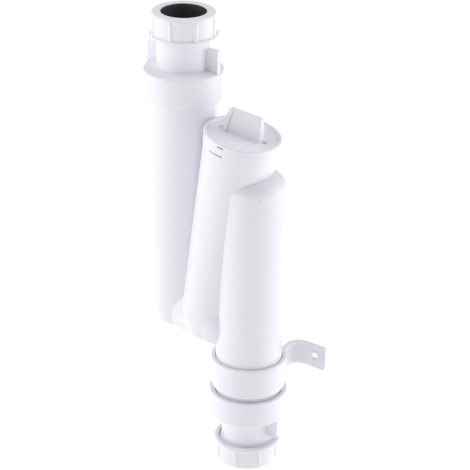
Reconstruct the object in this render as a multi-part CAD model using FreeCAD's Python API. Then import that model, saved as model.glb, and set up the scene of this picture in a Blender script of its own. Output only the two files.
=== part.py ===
# Offset trap for a 32 mm basin waste, white polypropylene, with a cleanout cap and a wall bracket
import FreeCAD, Part
import math
import os

os.makedirs("parts", exist_ok=True)

V = FreeCAD.Vector

# Pipe connection, the origin is the middle of the inlet seal
pipe_r = 16.0
seal_play = 0.10
seal_mid = 33.0
inlet_more = 1.7
run_fit = 0.05
free_gap = 0.30

# Limbs: the inlet axis is at x 0, y 0, the two others stand forward of it
limb_r = 25.3
wall = 2.5
outlet_x = 62.9
outlet_y = -10.0
outlet_drop = 265.2
limb_end_gap = 3.5
dome_start_drop = 75.8
dome_h = 13.0

# U-bend: both limbs have a rounded foot and a narrower tunnel joins them
sump_r = 25.0
sump_drop = 189.2
sump_round = 20.7
foot_r = 22.7
foot_round = 22.0
tunnel_r = 22.6
tunnel_drop = 189.8
tunnel_end_x = 38.0
tunnel_end_side = 1.0

# Leaning middle limb and its mouth
lean = 8.9
cap_x = 54.5
cap_drop = 38.0
mouth_r = 25.3
mouth_wall = 2.34
band_t = 2.9
band_h = 6.5
mouth_depth = 13.0
rim_gap = 0.02

# Partition between the middle limb and the outlet limb
part_x = 46.3
part_drop = 184.8
part_lean = 5.85
seal_depth = 75.0
bend_floor = 2.8

# Snap beads on the limb ends and under the bracket
bead_h = 2.0
bead_out = 0.6

# Adaptor collar
collar_t = 4.3
collar_h = 20.32
collar_round = 1.3
collar_cone_h = 2.2
collar_plate = 3.0
skirt_mouth = 1.1
neck_step = 2.01
neck_h = 24.2
thread_r = 21.8
socket_top = 37.5
socket_r = 16.5
socket_stop_r = 14.5
socket_floor = 1.5
counter_r = 16.95
counter_low = 25.0
counter_high = 30.0
cone_mouth_r = 19.35
oring_h = 3.4
oring_low = 11.6
oring_depth = 1.85
snap_low = 15.6
snap_h = 3.0
wing_out = 29.1
wing_t = 4.39
wing_h = 18.0
outlet_wing_h = 16.2
outlet_turn = 8.0
wing_round = 3.0

# Compression nut
nut_low = 23.23
nut_h = 18.35
nut_wall = 1.67
nut_flange_out = 1.64
nut_flange_t = 2.3
nut_hole_r = 16.9
nut_web = 3.0
nut_bore_gap = 0.3
nut_round = 2.0
rib_count = 8
rib_w = 3.3
rib_out = 0.9
rib_stop = 3.5
rib_phase = 5.5

# Friction ring and pipe seal
ring_in = 17.0
ring_t = 0.8
seal_neck_r = 16.6
seal_lip_drop = 0.5
funnel_out = 0.35
funnel_h = 2.6

# Cleanout cap
flange_out = 3.5
flange_t = 2.2
flange_sink = 1.5
plate_t = 2.0
flange_rim = 2.4
plug_t = 2.4
plug_len = 12.6
cap_seal_h = 2.6
cap_seal_low = 12.0
cap_seal_depth = 1.6
lug_turn = 16.0
lug_w = 10.0
lug_h = 1.1
lug_out = 1.4
slot_start = -118.0
slot_h = 1.5
slot_drop = 8.1
notch_h = 1.3
bar_base = 15.6
bar_top = 13.2
bar_h = 17.6
bar_t = 2.4
bar_foot_t = 6.8
bar_end_t = 3.4
bar_end_foot_t = 8.6
bar_end_w = 3.4
pocket_len = 3.6
pocket_w = 4.6
pocket_deep = 1.1
bar_round = 2.2

# Wall bracket, set out from the outlet axis
ring_drop = 216.7
ring_main_h = 19.1
ring_lip_h = 5.0
ring_wall = 3.13
ring_lip_wall = 2.4
arm_x = 21.0
arm_root = 8.0
arm_t = 3.0
arm_bend_r = 8.0
wall_y = 41.0
tab_turn = 9.0
tab_len = 28.0
tab_corner = 2.6
hole_along = 18.1
hole_up = 9.3
hole_r = 2.65
hole_boss_r = 4.6
hole_boss_h = 0.5

# Heights that follow
face_z = -seal_mid - inlet_more
sump_z = face_z - sump_drop
tunnel_z = face_z - tunnel_drop
outlet_z = face_z - outlet_drop
cap_z = face_z - cap_drop
dome_z = face_z - dome_start_drop
ring_z = face_z - ring_drop
part_z = face_z - part_drop
weir_z = tunnel_z + tunnel_r - wall + seal_depth
mid_len = (cap_z - sump_z) / math.cos(math.radians(lean))
flange_under = -flange_t / 2.0
band_low = flange_under - band_h
rim_top = flange_under - rim_gap
skirt_r = limb_r + run_fit
collar_r = skirt_r + collar_t
ring_in_r = limb_r + free_gap
ring_r = ring_in_r + ring_wall
ring_lip_r = ring_in_r + ring_lip_wall
mid_top_r = mouth_r + mouth_wall
band_r = mouth_r + band_t
flange_r = mouth_r + flange_out
lug_r = mouth_r + lug_out
neck_r = thread_r - neck_step
bore_r = thread_r + nut_bore_gap
nut_r = bore_r + nut_wall
nut_flange_r = nut_r + nut_flange_out
nut_top = nut_low + nut_h
web_low = nut_top - nut_web
big = 400.0


# A closed outline with rounded corners: every corner is (across, up, radius)
def outline(corners, plane):
    count = len(corners)
    starts = []
    ends = []
    middles = []
    for i in range(count):
        x, z, radius = corners[i]
        here = V(x, z, 0)
        before = V(corners[i - 1][0], corners[i - 1][1], 0) - here
        after = V(corners[(i + 1) % count][0], corners[(i + 1) % count][1], 0) - here
        before.normalize()
        after.normalize()
        half = before.getAngle(after) / 2.0
        if radius <= 0.0:
            starts.append(here)
            ends.append(here)
            middles.append(None)
            continue
        reach = radius / math.tan(half)
        starts.append(here + before * reach)
        ends.append(here + after * reach)
        inward = before + after
        inward.normalize()
        middles.append(here + inward * (radius / math.sin(half) - radius))
    edges = []
    for i in range(count):
        after = starts[(i + 1) % count]
        if middles[i] is not None:
            edges.append(Part.Arc(plane(starts[i]), plane(middles[i]), plane(ends[i])).toShape())
        if (after - ends[i]).Length > 1e-6:
            edges.append(Part.makeLine(plane(ends[i]), plane(after)))
    return Part.Face(Part.Wire(edges))


def upright(p):
    return V(p.x, 0, p.y)


def flat(p):
    return V(p.x, p.y, 0)


def turned(corners):
    return outline(corners, upright).revolve(V(0, 0, 0), V(0, 0, 1), 360)


def tube(r_out, r_in, low, high):
    return turned([(r_in, low, 0), (r_out, low, 0), (r_out, high, 0), (r_in, high, 0)])


def rod(radius, low, high):
    return Part.makeCylinder(radius, high - low, V(0, 0, low))


# An angular piece of a ring, used for the bayonet
def sector(r_out, r_in, low, high, start, sweep):
    face = outline([(r_in, low, 0), (r_out, low, 0), (r_out, high, 0), (r_in, high, 0)], upright)
    solid = face.revolve(V(0, 0, 0), V(0, 0, 1), sweep)
    solid.rotate(V(0, 0, 0), V(0, 0, 1), start)
    return solid


def moved(shape, x, y, z):
    copy = shape.copy()
    copy.translate(V(x, y, z))
    return copy


# Places a shape of the middle limb: its own z runs up the leaning axis from the cap's flange
def leaned(shape):
    copy = shape.copy()
    copy.rotate(V(0, 0, 0), V(0, 1, 0), lean)
    copy.translate(V(cap_x, outlet_y, cap_z))
    return copy


# Places an end fitting on the inlet, or turned over on the outlet
def at_inlet(shape):
    return moved(shape, 0, 0, face_z)


def at_outlet(shape):
    copy = shape.copy()
    copy.rotate(V(0, 0, 0), V(1, 0, 0), 180)
    copy.translate(V(outlet_x, outlet_y, outlet_z))
    return copy


def joined(shapes):
    return shapes[0].multiFuse(shapes[1:]).removeSplitter()


# A snap bead with sloped sides round a limb
def bead(middle, height, radius, out):
    low = middle - height / 2.0
    high = middle + height / 2.0
    root = radius - 0.5
    slope = out
    return turned([(root, low, 0), (radius, low, 0), (radius + out, low + slope, 0),
                   (radius + out, high - slope, 0), (radius, high, 0), (root, high, 0)])


# A tapered limb with a rounded closed foot, the rounding starts at low
def footed(low_r, high_r, low, high, rounding):
    return turned([(0, low - rounding, 0), (low_r, low - rounding, rounding - 0.05),
                   (high_r, high, 0), (0, high, 0)])


# Outer or inner form of each limb, inset by the wall
def inlet_limb(inset, top_more):
    rim = face_z - collar_h
    low = footed(sump_r - inset, limb_r - inset, sump_z, rim, sump_round - inset)
    top = rod(limb_r - inset, rim, face_z - limb_end_gap + top_more)
    return [low, top]


def bend_forms(inset):
    start = V(0, 0, tunnel_z)
    end = V(tunnel_end_x, outlet_y - tunnel_end_side, tunnel_z)
    radius = tunnel_r - inset
    tunnel = Part.makeCylinder(radius, (end - start).Length, start, end - start)
    return [Part.makeSphere(radius, start), tunnel, Part.makeSphere(radius, end)]


def middle_limb(inset):
    return leaned(footed(foot_r - inset, mid_top_r - inset, -mid_len, band_low, foot_round - inset))


def outlet_limb(inset, low_more):
    radius = limb_r - inset
    low = outlet_z + limb_end_gap - low_more
    body = moved(rod(radius, low, dome_z), outlet_x, outlet_y, 0)
    height = dome_h - inset
    rim = Part.Ellipse(V(radius, 0, dome_z), V(0, 0, dome_z + height), V(0, 0, dome_z))
    curve = rim.toShape(0, math.pi / 2.0)
    floor = Part.makeLine(V(0, 0, dome_z), V(radius, 0, dome_z))
    mast = Part.makeLine(V(0, 0, dome_z + height), V(0, 0, dome_z))
    face = Part.Face(Part.Wire([floor, curve, mast]))
    dome = moved(face.revolve(V(0, 0, 0), V(0, 0, 1), 360), outlet_x, outlet_y, 0)
    return [body, dome]


# Half spaces on the two sides of the partition
def side_block(sign, gap):
    start = gap if sign > 0 else -big - gap
    block = Part.makeBox(big, big, 2.0 * big, V(start, -big / 2.0, -big))
    block.rotate(V(0, 0, 0), V(0, 1, 0), part_lean)
    block.translate(V(part_x, outlet_y, part_z))
    return block


def slice_between(low, high):
    return Part.makeBox(2.0 * big, 2.0 * big, high - low, V(-big, -big, low))


def make_trap_body():
    solid = joined(inlet_limb(0, 0) + bend_forms(0) + [middle_limb(0)] + outlet_limb(0, 0))
    band = leaned(rod(band_r, band_low, rim_top))
    beads = [moved(bead(face_z - snap_low + snap_h / 2.0, bead_h, limb_r, bead_out), 0, 0, 0)]
    outlet_bead = bead(outlet_z + snap_low - snap_h / 2.0, bead_h, limb_r, bead_out)
    beads.append(moved(outlet_bead, outlet_x, outlet_y, 0))
    bracket_bead = bead(ring_z - ring_main_h / 2.0, bead_h, limb_r, bead_out)
    beads.append(moved(bracket_bead, outlet_x, outlet_y, 0))
    solid = joined([solid, band] + beads)

    # Inlet passage: everything inside limb one up to the wall of the middle limb
    inlet_way = joined(inlet_limb(wall, 1.0)).cut(middle_limb(0))
    # Bend passage, stopped by the partition
    left = side_block(-1, wall / 2.0)
    right = side_block(1, wall / 2.0)
    bend_way = joined(bend_forms(wall)).common(left)
    # Rising passage, stopped by the partition up to the weir
    above = slice_between(weir_z, big)
    rising = middle_limb(wall)
    rising_low = rising.common(left)
    rising_high = rising.common(above)
    mouth = leaned(rod(mouth_r, flange_under - mouth_depth, flange_under + 1.0))
    # Falling passage down to the outlet
    falling = outlet_limb(wall, 1.0)
    floor_z = tunnel_z - tunnel_r - bend_floor
    falling_low = falling[0].common(slice_between(-big * 2.0, floor_z))
    falling_mid = falling[0].common(slice_between(floor_z, dome_z)).common(right)
    falling_high = falling[0].common(above)
    ways = [inlet_way, bend_way, rising_low, rising_high, mouth]
    ways = ways + [falling_low, falling_mid, falling_high, falling[1]]
    for way in ways:
        solid = solid.cut(way)

    # Bayonet on two sides: a notch in the rim, a channel inside the wall and a slit for the lug
    slit_high = flange_under - slot_drop + slot_h
    slit_low = flange_under - slot_drop
    channel_r = lug_r + free_gap
    for half_turn in (0.0, 180.0):
        start = slot_start + half_turn
        slit = sector(band_r + 1.0, mouth_r - 0.2, slit_low, slit_high, start, lug_turn + lug_w)
        channel = sector(channel_r, mouth_r - 0.2, slit_low, flange_under + 0.5, start + lug_turn, lug_w)
        notch = sector(band_r + 1.0, mouth_r - 0.2, flange_under - notch_h, flange_under + 0.5,
                       start + lug_turn, lug_w)
        for cutter in (slit, channel, notch):
            solid = solid.cut(leaned(cutter))
    return solid


def make_adaptor(more, wing_height):
    groove_r = skirt_r + oring_depth
    snap_r = limb_r + bead_out + free_gap
    lip_r = limb_r + free_gap
    outer = [(lip_r + skirt_mouth, -collar_h, 0), (collar_r, -collar_h, 0.6),
             (collar_r, 0, collar_round), (neck_r, collar_cone_h, 0.5), (neck_r, neck_h + more, 0),
             (thread_r, neck_h + more + 1.0, 0), (thread_r, socket_top + more, 0.6),
             (cone_mouth_r, socket_top + more, 0)]
    socket = [(counter_r, counter_high + more, 0), (counter_r, counter_low + more, 0),
              (socket_r, counter_low + more, 0),
              (socket_r, socket_floor, 0), (socket_stop_r, socket_floor, 0),
              (socket_stop_r, -collar_plate, 0)]
    skirt = [(skirt_r, -collar_plate, 0), (skirt_r, -oring_low + oring_h, 0),
             (groove_r, -oring_low + oring_h, 0), (groove_r, -oring_low, 0), (skirt_r, -oring_low, 0),
             (skirt_r, -snap_low + snap_h, 0), (snap_r, -snap_low + snap_h, 0), (snap_r, -snap_low, 0),
             (lip_r, -snap_low, 0), (lip_r, -collar_h + skirt_mouth, 0)]
    solid = turned(outer + socket + skirt)
    for side in (-1.0, 1.0):
        corners = [(side * (neck_r - 1.0), -0.6, 0), (side * (wing_out - 0.5), -0.6, 0),
                   (side * wing_out, 0.4, 0), (side * wing_out, wing_height, wing_round),
                   (side * (neck_r - 1.0), wing_height, 0)]
        wing = outline(corners, upright).extrude(V(0, wing_t, 0))
        solid = solid.fuse(moved(wing, 0, -wing_t / 2.0, 0))
    return solid.removeSplitter()


def make_adaptor_seal():
    inner = limb_r + 0.03
    outer = skirt_r + oring_depth - 0.05
    low = -oring_low + 0.1
    high = -oring_low + oring_h - 0.1
    return turned([(inner, low, 0.8), (outer, low, 0.4), (outer, high, 0.4), (inner, high, 0.8)])


def make_nut(phase):
    flange_top = nut_low + nut_flange_t
    solid = turned([(0, nut_low, 0), (nut_flange_r, nut_low, 0.8), (nut_flange_r, flange_top, 0.9),
                    (nut_r, flange_top, 0.5), (nut_r, nut_top, nut_round), (0, nut_top, 0)])
    half = rib_w / 2.0
    rib_r = (half * half + rib_out * rib_out) / (2.0 * rib_out)
    rib_at = nut_r + rib_out - rib_r
    rib_top = nut_top - rib_stop - rib_r / 2.0
    ribs = []
    for i in range(rib_count):
        rib = rod(rib_r, nut_low + nut_flange_t / 2.0, rib_top)
        tip = Part.makeSphere(rib_r, V(0, 0, rib_top))
        rib = moved(rib.fuse(tip), rib_at, 0, 0)
        rib.rotate(V(0, 0, 0), V(0, 0, 1), phase + i * 360.0 / rib_count)
        ribs.append(rib)
    solid = solid.multiFuse(ribs)
    hollow = turned([(0, nut_low - 1.0, 0), (bore_r + 0.6, nut_low - 1.0, 0),
                     (bore_r + 0.6, nut_low, 0), (bore_r, nut_low + 0.8, 0), (bore_r, web_low, 0),
                     (nut_hole_r, web_low, 0), (nut_hole_r, nut_top - 0.5, 0),
                     (nut_hole_r + 0.5, nut_top, 0), (nut_hole_r + 0.5, nut_top + 1.0, 0),
                     (0, nut_top + 1.0, 0)])
    return solid.cut(hollow)


def make_friction_ring():
    return tube(thread_r - 0.2, ring_in, web_low - ring_t - 0.02, web_low - 0.02)


def make_pipe_seal():
    inner = pipe_r + seal_play
    shoulder = web_low - ring_t - 0.06
    lip = nut_top - seal_lip_drop
    slope_top = socket_top - 0.05
    return turned([(inner, counter_low + 0.05, 0), (counter_r - 0.05, counter_low + 0.05, 0),
                   (counter_r - 0.05, counter_high, 0), (cone_mouth_r - 0.05, slope_top, 0),
                   (cone_mouth_r - 0.05, shoulder, 0), (seal_neck_r, shoulder, 0),
                   (seal_neck_r, lip, 0), (inner + funnel_out, lip, 0), (inner, lip - funnel_h, 0)])


# A side outline given a thickness that narrows from the cap's face to the top of the bar
def wedge(side, foot_t, top_t, face):
    block = moved(side.extrude(V(0, foot_t * 2.0, 0)), 0, -foot_t, 0)
    section = Part.makePolygon([V(-big, -foot_t / 2.0, face - 0.5), V(-big, foot_t / 2.0, face - 0.5),
                                V(-big, top_t / 2.0, bar_h + 0.1), V(-big, -top_t / 2.0, bar_h + 0.1),
                                V(-big, -foot_t / 2.0, face - 0.5)])
    return block.common(Part.Face(section).extrude(V(2.0 * big, 0, 0)))


# Cap in its own upright frame, the flange's middle at z 0
def make_cap():
    top = flange_t / 2.0
    plug_r = mouth_r - run_fit
    plug_end = flange_under - plug_len
    groove_high = flange_under - cap_seal_low + cap_seal_h
    groove_low = flange_under - cap_seal_low
    groove_r = plug_r - cap_seal_depth
    face = top - flange_sink
    plate_low = face - plate_t
    solid = turned([(0, plate_low, 0), (plug_r - plug_t, plate_low, 0.8), (plug_r - plug_t, plug_end, 0),
                    (plug_r, plug_end, 0.4), (plug_r, groove_low, 0), (groove_r, groove_low, 0),
                    (groove_r, groove_high, 0), (plug_r, groove_high, 0), (plug_r, flange_under, 0),
                    (flange_r, flange_under, 0.6), (flange_r, top, 1.1), (flange_r - flange_rim, top, 0.6),
                    (flange_r - flange_rim - flange_sink, face, 0.8), (0, face, 0)])
    lug_low = flange_under - slot_drop + (slot_h - lug_h) / 2.0
    for half_turn in (0.0, 180.0):
        lug = sector(lug_r, plug_r - 1.0, lug_low, lug_low + lug_h,
                     slot_start + 0.5 + half_turn, lug_w - 1.0)
        solid = solid.fuse(lug)
    web_side = outline([(-bar_base, face - 0.5, 0), (bar_base, face - 0.5, 0), (bar_top, bar_h, bar_round),
                        (-bar_top, bar_h, bar_round)], upright)
    solid = solid.fuse(wedge(web_side, bar_foot_t, bar_t, face))
    for side in (-1.0, 1.0):
        rib_side = outline([(side * (bar_base - bar_end_w), face - 0.5, 0),
                            (side * bar_base, face - 0.5, 0), (side * bar_top, bar_h, bar_round),
                            (side * (bar_top - bar_end_w), bar_h, 0)], upright)
        solid = solid.fuse(wedge(rib_side, bar_end_foot_t, bar_end_t, face))
    solid = solid.removeSplitter()
    for side in (-1.0, 1.0):
        start = bar_base if side > 0 else -bar_base - pocket_len
        pocket = Part.makeBox(pocket_len, pocket_w, pocket_deep + 1.0,
                              V(start, -pocket_w / 2.0, face - pocket_deep))
        solid = solid.cut(pocket)
    return leaned(solid)


def make_cap_seal():
    plug_r = mouth_r - run_fit
    low = flange_under - cap_seal_low + 0.1
    high = low + cap_seal_h - 0.2
    inner = plug_r - cap_seal_depth + 0.05
    outer = mouth_r - 0.03
    return leaned(turned([(inner, low, 0.4), (outer, low, 0.8), (outer, high, 0.8), (inner, high, 0.4)]))


# Ring on the outlet limb, an arm that bends to the wall and a tab with one hole
def make_bracket():
    lip_z = -ring_main_h
    end_z = lip_z - ring_lip_h
    snap_r = limb_r + bead_out + free_gap
    mid = -ring_main_h / 2.0
    half = bead_h / 2.0 + 0.5
    ring = turned([(ring_in_r, end_z, 0.6), (ring_lip_r, end_z, 0.6), (ring_lip_r, lip_z, 0),
                   (ring_r, lip_z, 0.5), (ring_r, 0, 0.8), (ring_in_r, 0, 0.6),
                   (ring_in_r, mid + half, 0), (snap_r, mid + half, 0), (snap_r, mid - half, 0),
                   (ring_in_r, mid - half, 0)])
    front_y = wall_y - arm_t
    back_x = arm_x - arm_t
    angle = math.radians(tab_turn)
    along = V(math.cos(angle), -math.sin(angle), 0)
    outward = V(math.sin(angle), math.cos(angle), 0)
    corner = V(arm_x, front_y, 0)
    front_end = corner + along * tab_len
    back_end = front_end + outward * arm_t
    back_run = (back_x - arm_x - arm_t * math.sin(angle)) / math.cos(angle)
    back_corner = corner + outward * arm_t + along * back_run
    arm = outline([(back_x, ring_in_r - arm_root, 0), (arm_x, ring_in_r - arm_root, 0),
                   (corner.x, corner.y, arm_bend_r), (front_end.x, front_end.y, 0),
                   (back_end.x, back_end.y, 0), (back_corner.x, back_corner.y, arm_bend_r + arm_t)],
                  flat).extrude(V(0, 0, -ring_main_h))
    arm = arm.cut(rod(ring_in_r + 0.5, -big, big))
    # The tab's two outer corners are rounded by a gate square to the tab
    gate = outline([(-big, 0.0, 0), (tab_len, 0.0, tab_corner), (tab_len, -ring_main_h, tab_corner),
                    (-big, -ring_main_h, 0)], upright).extrude(V(0, big, 0))
    gate.translate(V(0, -big / 2.0, 0))
    gate.rotate(V(0, 0, 0), V(0, 0, 1), -tab_turn)
    gate.translate(corner)
    arm = arm.common(gate)
    hole = corner + along * hole_along - V(0, 0, hole_up)
    boss = Part.makeCylinder(hole_boss_r, hole_boss_h + 1.0, hole + outward, outward * -1.0)
    drill = Part.makeCylinder(hole_r, big, hole + outward * (arm_t + 1.0), outward * -1.0)
    sink = Part.makeCone(hole_r, hole_r + 1.2, 1.2, hole - outward * (hole_boss_h - 0.6), outward * -1.0)
    solid = ring.fuse(arm).fuse(boss).removeSplitter().cut(drill).cut(sink)
    return moved(solid, outlet_x, outlet_y, ring_z)


def save(name, shape):
    shape.exportStep("parts/" + name + ".step")
    box = shape.BoundBox
    words = "%s valid %s solids %d volume %.1f" % (name, shape.isValid(), len(shape.Solids), shape.Volume)
    print(words, "box %.2f %.2f %.2f to %.2f %.2f %.2f"
          % (box.XMin, box.YMin, box.ZMin, box.XMax, box.YMax, box.ZMax))


save("trap_body", make_trap_body())

inlet_adaptor = make_adaptor(inlet_more, wing_h)
outlet_adaptor = make_adaptor(0.0, outlet_wing_h)
outlet_adaptor.rotate(V(0, 0, 0), V(0, 0, 1), outlet_turn)
adaptor_seal = make_adaptor_seal()
friction_ring = make_friction_ring()
pipe_seal = make_pipe_seal()

save("inlet_adaptor", at_inlet(inlet_adaptor))
save("inlet_adaptor_seal", at_inlet(adaptor_seal))
save("inlet_nut", at_inlet(moved(make_nut(rib_phase), 0, 0, inlet_more)))
save("inlet_friction_ring", at_inlet(moved(friction_ring, 0, 0, inlet_more)))
save("inlet_pipe_seal", at_inlet(moved(pipe_seal, 0, 0, inlet_more)))

save("outlet_adaptor", at_outlet(outlet_adaptor))
save("outlet_adaptor_seal", at_outlet(adaptor_seal))
save("outlet_nut", at_outlet(make_nut(-rib_phase)))
save("outlet_friction_ring", at_outlet(friction_ring))
save("outlet_pipe_seal", at_outlet(pipe_seal))

save("cleanout_cap", make_cap())
save("cleanout_seal", make_cap_seal())
save("wall_bracket", make_bracket())
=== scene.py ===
import math

import bmesh
import bpy
from mathutils import Matrix, Vector


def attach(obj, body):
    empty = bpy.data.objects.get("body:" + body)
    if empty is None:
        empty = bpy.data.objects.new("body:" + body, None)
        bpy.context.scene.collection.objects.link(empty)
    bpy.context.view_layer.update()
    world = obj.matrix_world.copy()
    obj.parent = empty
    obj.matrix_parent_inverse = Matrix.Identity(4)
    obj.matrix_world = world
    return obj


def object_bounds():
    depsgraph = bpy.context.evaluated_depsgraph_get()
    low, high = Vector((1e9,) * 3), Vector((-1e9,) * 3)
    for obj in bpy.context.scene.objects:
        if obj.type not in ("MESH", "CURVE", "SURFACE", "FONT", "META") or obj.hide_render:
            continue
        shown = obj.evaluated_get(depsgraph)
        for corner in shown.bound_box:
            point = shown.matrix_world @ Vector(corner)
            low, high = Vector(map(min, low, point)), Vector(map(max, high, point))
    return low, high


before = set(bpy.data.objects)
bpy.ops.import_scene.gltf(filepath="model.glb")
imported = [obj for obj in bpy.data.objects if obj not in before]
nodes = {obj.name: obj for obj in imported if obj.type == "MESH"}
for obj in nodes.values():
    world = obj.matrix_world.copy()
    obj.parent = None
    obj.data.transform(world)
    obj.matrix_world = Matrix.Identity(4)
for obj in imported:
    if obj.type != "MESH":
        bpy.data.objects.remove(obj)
cadLow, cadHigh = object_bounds()
mm = 0.001
print("frame loaded", len(nodes), "nodes")


# Node helpers for the materials
def newMaterial(name):
    material = bpy.data.materials.new(name)
    material.use_nodes = True
    tree = material.node_tree
    shader = next(n for n in tree.nodes if n.type == "BSDF_PRINCIPLED")
    return material, tree, shader


def addNode(tree, kind, inputs=None, **props):
    node = tree.nodes.new(kind)
    for key, value in props.items():
        setattr(node, key, value)
    for key, value in (inputs or {}).items():
        node.inputs[key].default_value = value
    return node


def noiseNode(tree, coords, scale, detail, rough=0.5):
    node = addNode(tree, "ShaderNodeTexNoise", {"Scale": scale, "Detail": detail, "Roughness": rough})
    tree.links.new(coords.outputs["Object"], node.inputs["Vector"])
    return node


def rampNode(tree, source, stops):
    node = tree.nodes.new("ShaderNodeValToRGB")
    ramp = node.color_ramp
    while len(ramp.elements) < len(stops):
        ramp.elements.new(0.5)
    for element, (place, color) in zip(ramp.elements, stops):
        element.position = place
        element.color = (*color, 1.0)
    tree.links.new(source, node.inputs["Fac"])
    return node


# Moulded white plastic: a slight drift of colour and gloss, soft waves and a fine orange peel
def whitePlastic(name, tint, rough, seed):
    material, tree, shader = newMaterial(name)
    coords = addNode(tree, "ShaderNodeTexCoord")
    shift = addNode(tree, "ShaderNodeMapping")
    shift.inputs["Location"].default_value = (seed, seed * 0.7, seed * 1.3)
    tree.links.new(coords.outputs["Object"], shift.inputs["Vector"])
    drift = addNode(tree, "ShaderNodeTexNoise", {"Scale": 14.0, "Detail": 3.0, "Roughness": 0.5})
    tree.links.new(shift.outputs["Vector"], drift.inputs["Vector"])
    darker = tuple(c * 0.99 for c in tint)
    color = rampNode(tree, drift.outputs["Fac"], [(0.2, darker), (0.8, tint)])
    tree.links.new(color.outputs["Color"], shader.inputs["Base Color"])
    gloss = addNode(tree, "ShaderNodeMapRange",
                    {"From Min": 0.0, "From Max": 1.0, "To Min": rough - 0.02, "To Max": rough + 0.02})
    fine = noiseNode(tree, coords, 60.0, 4.0)
    tree.links.new(fine.outputs["Fac"], gloss.inputs["Value"])
    tree.links.new(gloss.outputs["Result"], shader.inputs["Roughness"])
    wave = noiseNode(tree, coords, 22.0, 1.0)
    peel = noiseNode(tree, coords, 900.0, 2.0)
    low = addNode(tree, "ShaderNodeBump", {"Strength": 0.01, "Distance": 0.0004})
    high = addNode(tree, "ShaderNodeBump", {"Strength": 0.02, "Distance": 0.0001})
    tree.links.new(wave.outputs["Fac"], low.inputs["Height"])
    tree.links.new(peel.outputs["Fac"], high.inputs["Height"])
    tree.links.new(low.outputs["Normal"], high.inputs["Normal"])
    tree.links.new(high.outputs["Normal"], shader.inputs["Normal"])
    shader.inputs["IOR"].default_value = 1.49
    return material


def rubber(name, tint, rough):
    material, tree, shader = newMaterial(name)
    coords = addNode(tree, "ShaderNodeTexCoord")
    bloom = noiseNode(tree, coords, 120.0, 4.0, 0.6)
    paler = tuple(min(1.0, c * 1.5 + 0.004) for c in tint)
    color = rampNode(tree, bloom.outputs["Fac"], [(0.35, tint), (0.75, paler)])
    tree.links.new(color.outputs["Color"], shader.inputs["Base Color"])
    grain = noiseNode(tree, coords, 1400.0, 3.0)
    bump = addNode(tree, "ShaderNodeBump", {"Strength": 0.12, "Distance": 0.0001})
    tree.links.new(grain.outputs["Fac"], bump.inputs["Height"])
    tree.links.new(bump.outputs["Normal"], shader.inputs["Normal"])
    shader.inputs["Roughness"].default_value = rough
    return material


whites = {
    "trap_body": whitePlastic("body_plastic", (0.868, 0.862, 0.925), 0.26, 0.0),
    "inlet_adaptor": whitePlastic("inlet_adaptor_plastic", (0.872, 0.866, 0.925), 0.26, 1.1),
    "outlet_adaptor": whitePlastic("outlet_adaptor_plastic", (0.872, 0.866, 0.925), 0.26, 2.2),
    "inlet_nut": whitePlastic("inlet_nut_plastic", (0.875, 0.869, 0.925), 0.30, 3.3),
    "outlet_nut": whitePlastic("outlet_nut_plastic", (0.875, 0.869, 0.925), 0.30, 4.4),
    "cleanout_cap": whitePlastic("cap_plastic", (0.868, 0.862, 0.925), 0.28, 5.5),
    "wall_bracket": whitePlastic("bracket_plastic", (0.872, 0.866, 0.925), 0.30, 6.6),
}
slipPlastic = whitePlastic("slip_ring_plastic", (0.70, 0.72, 0.72), 0.45, 7.7)
blackRubber = rubber("seal_rubber", (0.036, 0.036, 0.038), 0.5)
greyRubber = rubber("ring_seal_rubber", (0.05, 0.05, 0.052), 0.6)
nodeMaterials = dict(whites)
for name in ("inlet_friction_ring", "outlet_friction_ring"):
    nodeMaterials[name] = slipPlastic
for name in ("inlet_pipe_seal", "outlet_pipe_seal"):
    nodeMaterials[name] = blackRubber
for name in ("inlet_adaptor_seal", "outlet_adaptor_seal", "cleanout_seal"):
    nodeMaterials[name] = greyRubber
for name, material in nodeMaterials.items():
    for slot in nodes[name].material_slots:
        slot.material = material
print("materials done")


# Mesh pieces made in the row frame, in metres
def pieceFrom(name, mesh, material, body):
    obj = bpy.data.objects.new(name, mesh)
    bpy.context.scene.collection.objects.link(obj)
    mesh.materials.append(material)
    for face in mesh.polygons:
        face.use_smooth = True
    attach(obj, body)
    return obj


# A helical thread: its section is swept round the axis and tapers away at both ends
def threadMesh(name, spec, turnOver):
    steps = int(spec["turns"] * spec["stepsPerTurn"])
    mesh = bpy.data.meshes.new(name)
    build = bmesh.new()
    rings = []
    for i in range(steps + 1):
        part = i / steps
        angle = 2.0 * math.pi * spec["turns"] * part
        rise = spec["low"] + spec["pitch"] * spec["turns"] * part
        turned = part * spec["turns"]
        fade = min(1.0, turned / spec["fadeTurns"], (spec["turns"] - turned) / spec["fadeTurns"])
        tip = spec["root"] + spec["lift"] + spec["depth"] * fade
        base = spec["root"] - spec["sunk"]
        half = spec["pitch"] * spec["footShare"]
        crest = spec["pitch"] * spec["crestShare"]
        section = [(base, -half), (spec["root"], -half), (tip, -crest), (tip, crest),
                   (spec["root"], half), (base, half)]
        ring = []
        for across, up in section:
            point = Vector((across * math.cos(angle), across * math.sin(angle), rise + up))
            ring.append(build.verts.new(turnOver @ (point * mm)))
        rings.append(ring)
    count = len(rings[0])
    for a, b in zip(rings, rings[1:]):
        for k in range(count):
            build.faces.new((a[k], b[k], b[(k + 1) % count], a[(k + 1) % count]))
    build.faces.new(rings[0])
    build.faces.new(list(reversed(rings[-1])))
    bmesh.ops.recalc_face_normals(build, faces=build.faces)
    build.to_mesh(mesh)
    build.free()
    return mesh


layout = {"faceZ": -34.7, "inletMore": 1.7, "outletX": 62.9, "outletY": -10.0, "outletDrop": 265.2}
inletPlace = Matrix.Translation(Vector((0, 0, layout["faceZ"] + layout["inletMore"])) * mm)
outletPlace = Matrix.Translation(
    Vector((layout["outletX"], layout["outletY"], layout["faceZ"] - layout["outletDrop"])) * mm
) @ Matrix.Rotation(math.pi, 4, "X")

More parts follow.
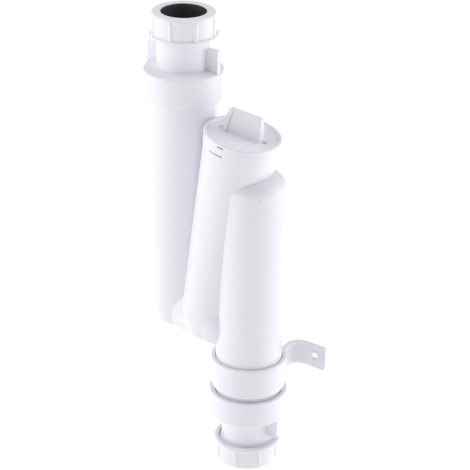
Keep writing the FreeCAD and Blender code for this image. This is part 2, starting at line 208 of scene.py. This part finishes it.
maleThread = {"root": 21.8, "depth": 0.16, "lift": 0.02, "sunk": 0.15, "pitch": 3.0, "footShare": 0.40,
              "crestShare": 0.10, "turns": 3.6, "fadeTurns": 1.0 / 3.0, "low": 26.2, "stepsPerTurn": 72}
for end, place in (("inlet", inletPlace), ("outlet", outletPlace)):
    male = threadMesh(end + "_male_thread", maleThread, place)
    pieceFrom(end + "_male_thread", male, whites[end + "_adaptor"], end + "_end")
print("threads done")


# A small round gate mark, a low disc with a dimple, where the plastic ran in
def gateMark(name, spec, material, body):
    sides = spec["sides"]
    turn = Vector((0, 0, 1)).rotation_difference(Vector(spec["normal"]).normalized()).to_matrix()
    mesh = bpy.data.meshes.new(name)
    build = bmesh.new()
    loops = []
    for part, high in spec["rings"]:
        loop = []
        for k in range(sides):
            angle = 2.0 * math.pi * k / sides
            reach = spec["radius"] * part
            local = Vector((reach * math.cos(angle), reach * math.sin(angle), high))
            loop.append(build.verts.new((Vector(spec["center"]) + turn @ local) * mm))
        loops.append(loop)
    build.faces.new(loops[0])
    for a, b in zip(loops, loops[1:]):
        for k in range(sides):
            build.faces.new((a[k], b[k], b[(k + 1) % sides], a[(k + 1) % sides]))
    bmesh.ops.recalc_face_normals(build, faces=build.faces)
    build.to_mesh(mesh)
    build.free()
    return pieceFrom(name, mesh, material, body)


gateSpec = {"center": (79.0, -29.5, -113.3), "normal": (16.1, -19.5, 0.0), "radius": 1.3, "sides": 28,
            "rings": [(0.35, 0.08), (0.5, 0.20), (0.85, 0.20), (1.0, -0.05)]}
gatePlastic = whitePlastic("gate_plastic", (0.74, 0.74, 0.80), 0.32, 8.8)
gateMark("outlet_limb_gate_mark", gateSpec, gatePlastic, "trap")
print("gate mark done")


# Floor, a plain sheet well under the trap, which hangs from its inlet; it is paler away from the trap,
# with a painted shade disc under the trap, and it glows with painted light that is weaker under the trap
floorSpec = {"size": 60.0, "drop": 0.60, "paintedShade": (0.80, 0.80, 0.80), "paper": (0.97, 0.97, 0.97),
             "paintedShadeReach": 0.55, "paperReach": 0.22, "glow": 0.62}
bpy.ops.mesh.primitive_plane_add(size=floorSpec["size"], location=(0, 0, cadLow[2] - floorSpec["drop"]))
floor = bpy.context.object
floor.name = "floor"
floorMaterial, floorTree, floorShader = newMaterial("floor_paper_painted_shade_glow")
floorCoords = addNode(floorTree, "ShaderNodeTexCoord")
floorFall = addNode(floorTree, "ShaderNodeTexGradient", gradient_type="SPHERICAL")
floorTree.links.new(floorCoords.outputs["Object"], floorFall.inputs["Vector"])
paperAt = floorSpec["paperReach"]
paintedShadeAt = floorSpec["paintedShadeReach"]
# Painted shade: the floor colour goes from pale paper far away to grey under the trap
floorColor = rampNode(floorTree, floorFall.outputs["Fac"],
                      [(paperAt, floorSpec["paper"]), (paintedShadeAt, floorSpec["paintedShade"])])
# Painted light: the floor glows, strongly far away to keep the backdrop white and weakly under the trap,
# which lights the trap less from below
floorGlow = rampNode(floorTree, floorFall.outputs["Fac"],
                     [(paperAt, (1.0, 1.0, 1.0)), (paintedShadeAt, (0.15, 0.15, 0.15))])
floorTree.links.new(floorColor.outputs["Color"], floorShader.inputs["Base Color"])
floorTree.links.new(floorGlow.outputs["Color"], floorShader.inputs["Emission Color"])
floorShader.inputs["Emission Strength"].default_value = floorSpec["glow"]
floorShader.inputs["Roughness"].default_value = 0.9
floor.data.materials.append(floorMaterial)


# Camera as fitted to the photo
cameraSpec = {"azimuth": 27.44, "elevation": 25.97, "roll": 0.92, "distance": 1.28832,
              "target": (0.04947, -0.010, -0.15435), "lens": 133.23, "sensor": 36.0,
              "near": 0.01, "far": 50.0}
around = math.radians(cameraSpec["azimuth"])
above = math.radians(cameraSpec["elevation"])
rolled = math.radians(cameraSpec["roll"])
back = Vector((math.sin(around) * math.cos(above), -math.cos(around) * math.cos(above), math.sin(above)))
right = Vector((math.cos(around), math.sin(around), 0.0))
up = back.cross(right)
rightRolled = right * math.cos(rolled) + up * math.sin(rolled)
upRolled = up * math.cos(rolled) - right * math.sin(rolled)
cameraData = bpy.data.cameras.new("camera")
cameraData.lens = cameraSpec["lens"]
cameraData.sensor_width = cameraSpec["sensor"]
cameraData.clip_start = cameraSpec["near"]
cameraData.clip_end = cameraSpec["far"]
camera = bpy.data.objects.new("camera", cameraData)
bpy.context.scene.collection.objects.link(camera)
eye = Vector(cameraSpec["target"]) + back * cameraSpec["distance"]
turn = Matrix((rightRolled, upRolled, back)).transposed().to_4x4()
camera.matrix_world = Matrix.Translation(eye) @ turn
bpy.context.scene.camera = camera


# Soft studio light: a pale surround and large panels at both sides, above and behind
def panel(name, spec):
    data = bpy.data.lights.new(name, "AREA")
    data.shape = "RECTANGLE"
    data.size, data.size_y = spec["size"]
    data.energy = spec["power"]
    light = bpy.data.objects.new(name, data)
    bpy.context.scene.collection.objects.link(light)
    middle = Vector(cameraSpec["target"])
    across, high, near = spec["place"]
    where = middle + right * across + up * high + back * near
    turn = (where - middle).to_track_quat("Z", "Y").to_matrix().to_4x4()
    light.matrix_world = Matrix.Translation(where) @ turn


panels = {
    "panel_left": {"place": (-1.3, 0.45, 0.30), "size": (1.2, 1.8), "power": 11.3},
    "panel_right": {"place": (1.3, 0.35, 0.10), "size": (1.2, 1.8), "power": 10.3},
    "panel_top": {"place": (0.0, 1.5, 0.4), "size": (1.6, 1.0), "power": 5.5},
}
for name, spec in panels.items():
    panel(name, spec)
worldSpec = {"color": (1.0, 1.0, 1.0, 1.0), "strength": 0.395}
world = bpy.data.worlds.new("studio")
world.use_nodes = True
surround = world.node_tree.nodes["Background"]
surround.inputs["Color"].default_value = worldSpec["color"]
surround.inputs["Strength"].default_value = worldSpec["strength"]
bpy.context.scene.world = world
bpy.context.scene.view_settings.view_transform = "Standard"
print("stage done")
